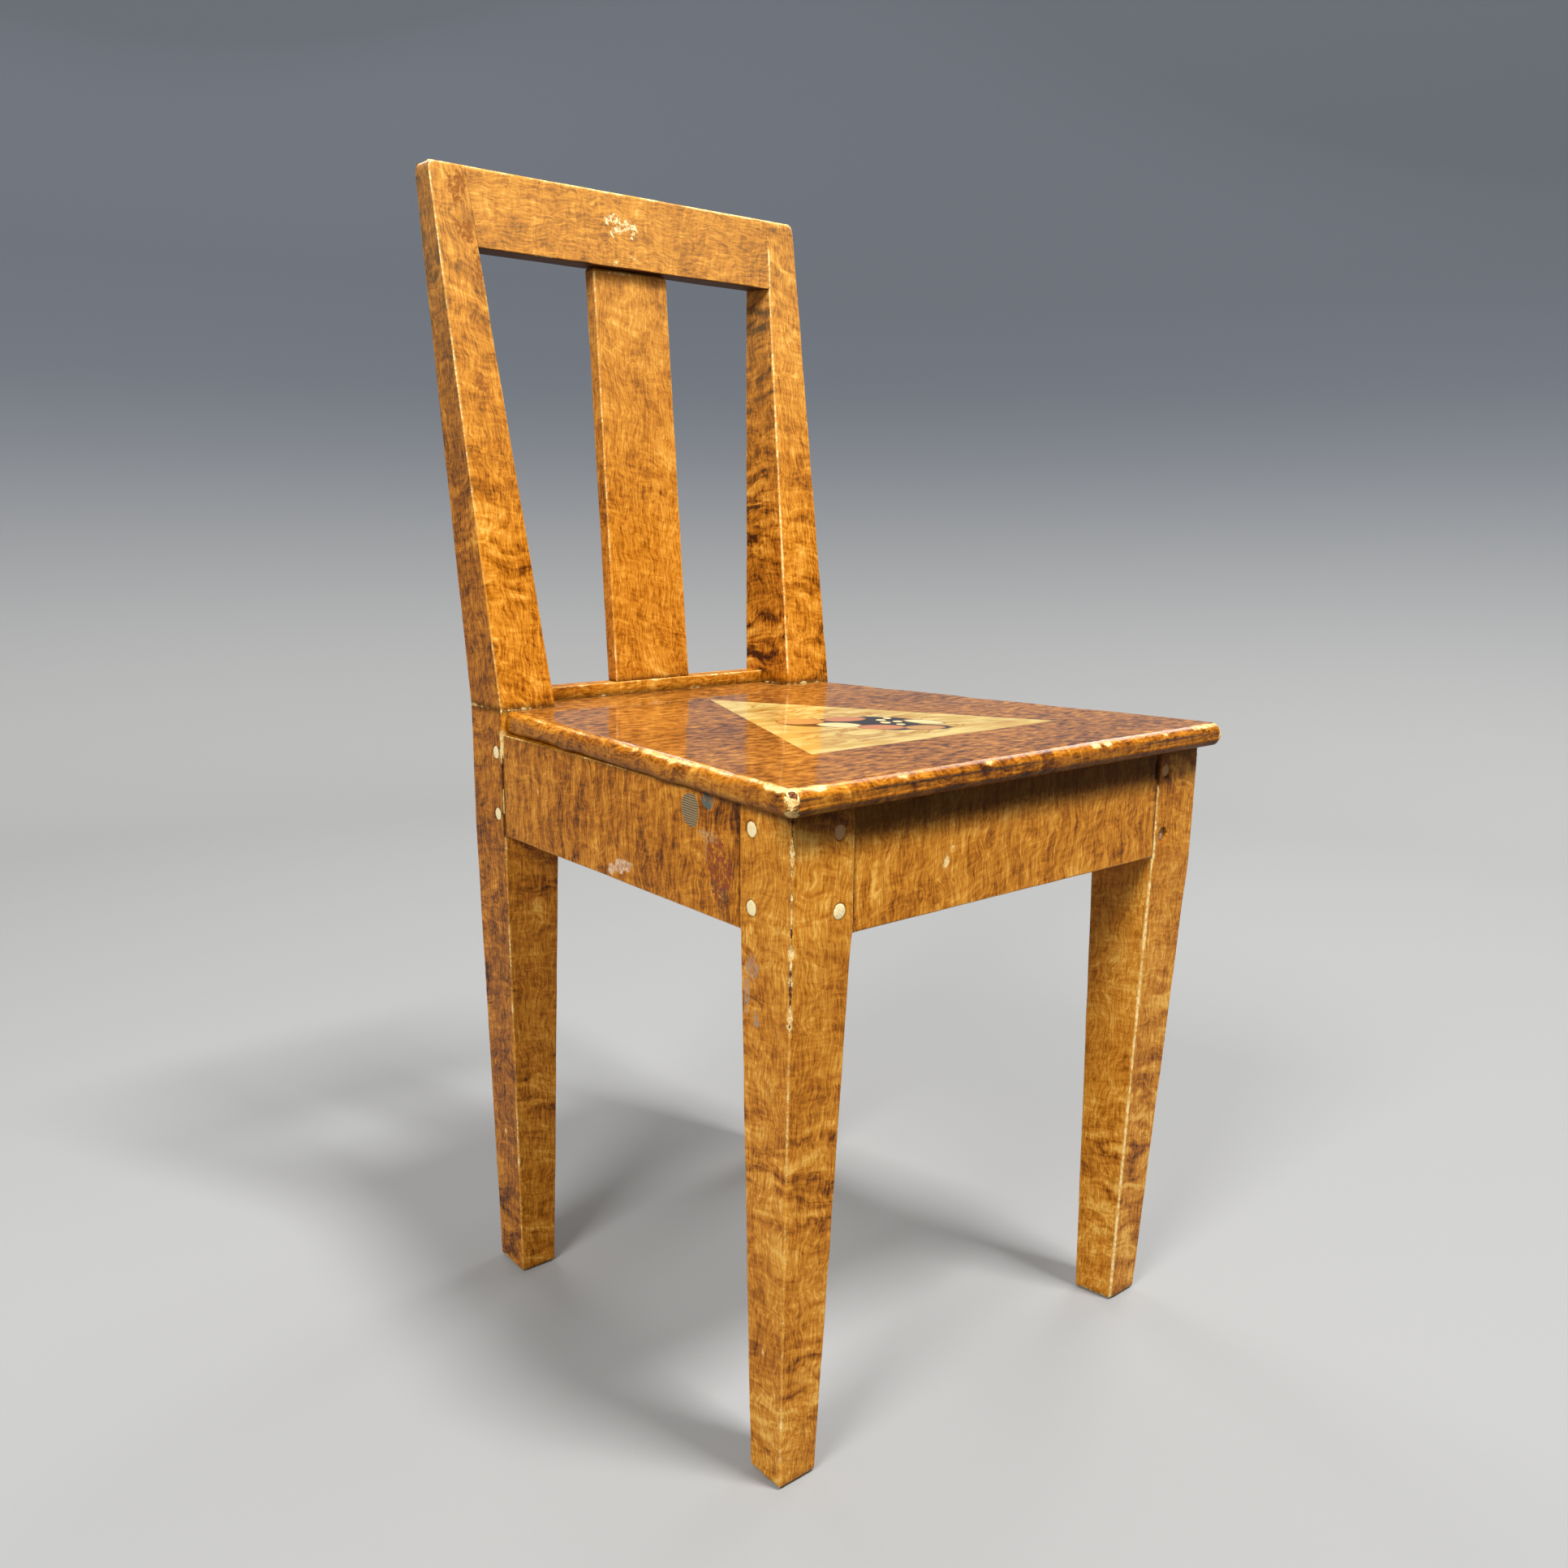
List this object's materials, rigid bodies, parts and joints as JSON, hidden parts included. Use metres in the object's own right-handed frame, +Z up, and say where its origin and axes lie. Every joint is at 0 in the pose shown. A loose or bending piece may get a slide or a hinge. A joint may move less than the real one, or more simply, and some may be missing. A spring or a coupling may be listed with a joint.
{
  "type": "wooden side chair",
  "caption": "Wooden side chair with a plank seat, tapered front legs, raked back posts, a top rail, a flat splat and pegged joints, in worn grained paint.",
  "frame": {"origin": "on the floor, midway between the chair's outermost sides and midway between the seat's front edge and the back's rearmost edge", "axes": "+X to the right as seen from the front, the front faces -Y, +Z up"},
  "size_m": [0.4306, 0.454, 0.844],
  "materials": {
    "grained_paint": "amber paint grained to look like figured wood, under worn gloss varnish",
    "seat_paint": "reddish brown paint with fine dark streaks and a pale painted triangle, under gloss varnish",
    "peg_wood": "pale bare wood end grain",
    "block_wood": "unpainted softwood",
    "screw_steel": "dull steel"
  },
  "bodies": {
    "root": {"seat_board": "seat_paint", "front_leg_left": "grained_paint", "front_leg_right": "grained_paint", "back_post_left": "grained_paint", "back_post_right": "grained_paint", "front_apron": "grained_paint", "left_apron": "grained_paint", "right_apron": "grained_paint", "back_seat_rail": "grained_paint", "top_rail": "grained_paint", "back_splat": "grained_paint", "front_apron_pegs": "peg_wood", "left_apron_pegs": "peg_wood", "right_apron_pegs": "peg_wood", "back_rail_pegs": "peg_wood", "corner_block_front_left": "block_wood", "corner_block_front_right": "block_wood", "corner_block_back_left": "block_wood", "corner_block_back_right": "block_wood", "seat_screws": "screw_steel"}
  },
  "joints": []
}
